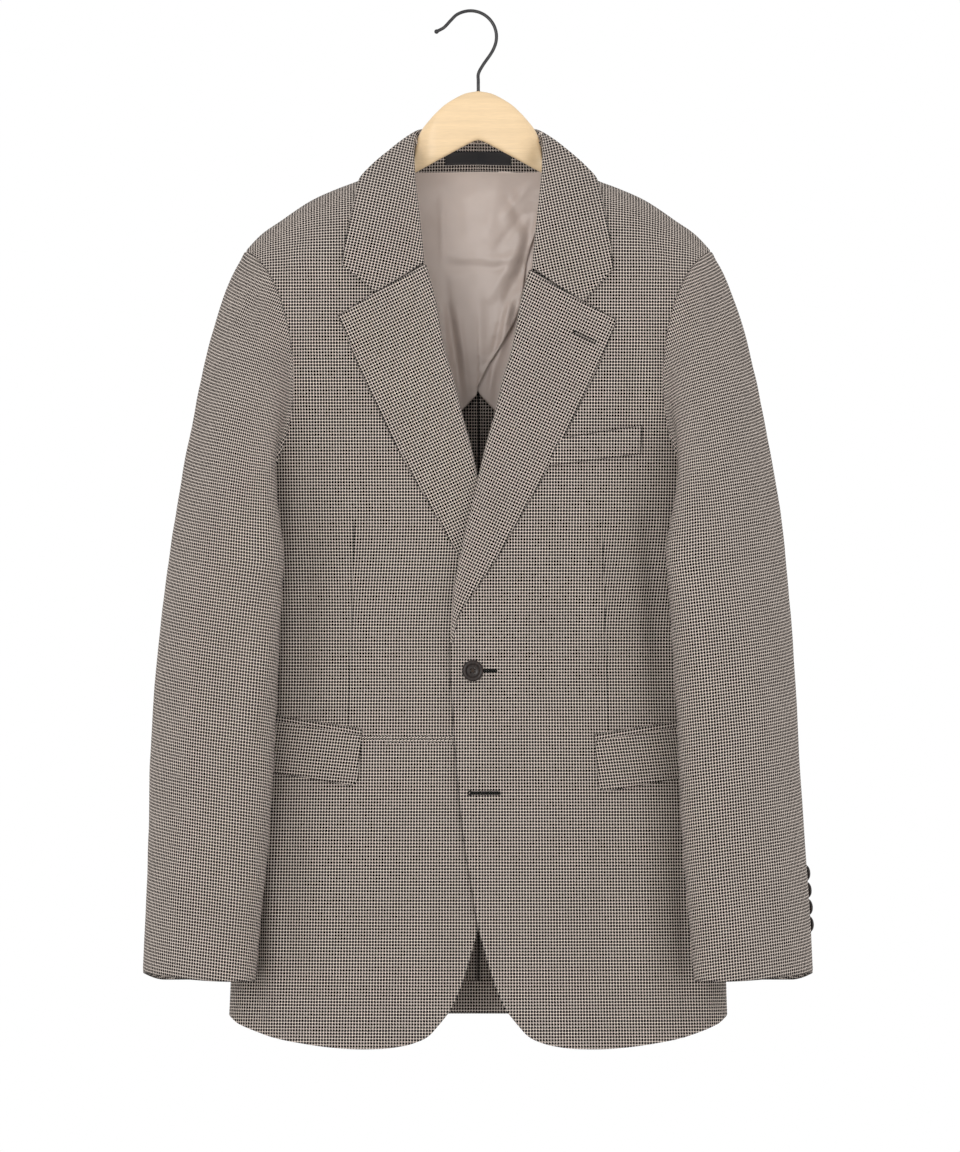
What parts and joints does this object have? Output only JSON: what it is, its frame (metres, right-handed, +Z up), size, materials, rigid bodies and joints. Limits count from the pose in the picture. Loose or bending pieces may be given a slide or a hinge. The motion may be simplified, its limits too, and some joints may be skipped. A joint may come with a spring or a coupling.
{
  "type": "sport jacket on a wooden hanger",
  "caption": "Single-breasted houndstooth wool sport jacket with notch lapels and flap pockets, hanging open at neck, hem and cuffs on a wooden hanger.",
  "frame": {"origin": "where the rail touches the hanger hook, at the inner top of the hook's crown", "axes": "+Z up; the jacket's front faces -Y; the wearer's left sleeve is towards +X"},
  "size_m": [0.6051, 0.1454, 0.9364],
  "materials": {
    "houndstooth": "wool blend in a small black and cream houndstooth check, matt with a soft nap",
    "lining": "beige satin lining",
    "label": "plain black woven label",
    "horn": "dark brown horn-effect button",
    "maple": "pale maple with a satin varnish",
    "hook_metal": "dark nickel-plated wire"
  },
  "bodies": {
    "root": {"front_left": "houndstooth", "side_left": "houndstooth", "back_left": "houndstooth", "top_sleeve_left": "houndstooth", "under_sleeve_left": "houndstooth", "lapel_left": "houndstooth", "pocket_flap_left": "houndstooth", "pocket_jet_left": "houndstooth", "front_right": "houndstooth", "side_right": "houndstooth", "back_right": "houndstooth", "top_sleeve_right": "houndstooth", "under_sleeve_right": "houndstooth", "lapel_right": "houndstooth", "pocket_flap_right": "houndstooth", "pocket_jet_right": "houndstooth", "collar": "houndstooth", "collar_stand": "houndstooth", "breast_welt": "houndstooth", "back_neck_facing": "houndstooth", "back_hem_turn_up": "houndstooth", "back_lining_left": "lining", "back_lining_right": "lining", "neck_label": "label", "front_button_upper": "horn", "front_button_lower": "horn", "sleeve_button_left_1": "horn", "sleeve_button_left_2": "horn", "sleeve_button_left_3": "horn", "sleeve_button_left_4": "horn", "sleeve_button_right_1": "horn", "sleeve_button_right_2": "horn", "sleeve_button_right_3": "horn", "sleeve_button_right_4": "horn", "hanger": "maple", "hook": "hook_metal"}
  },
  "joints": []
}
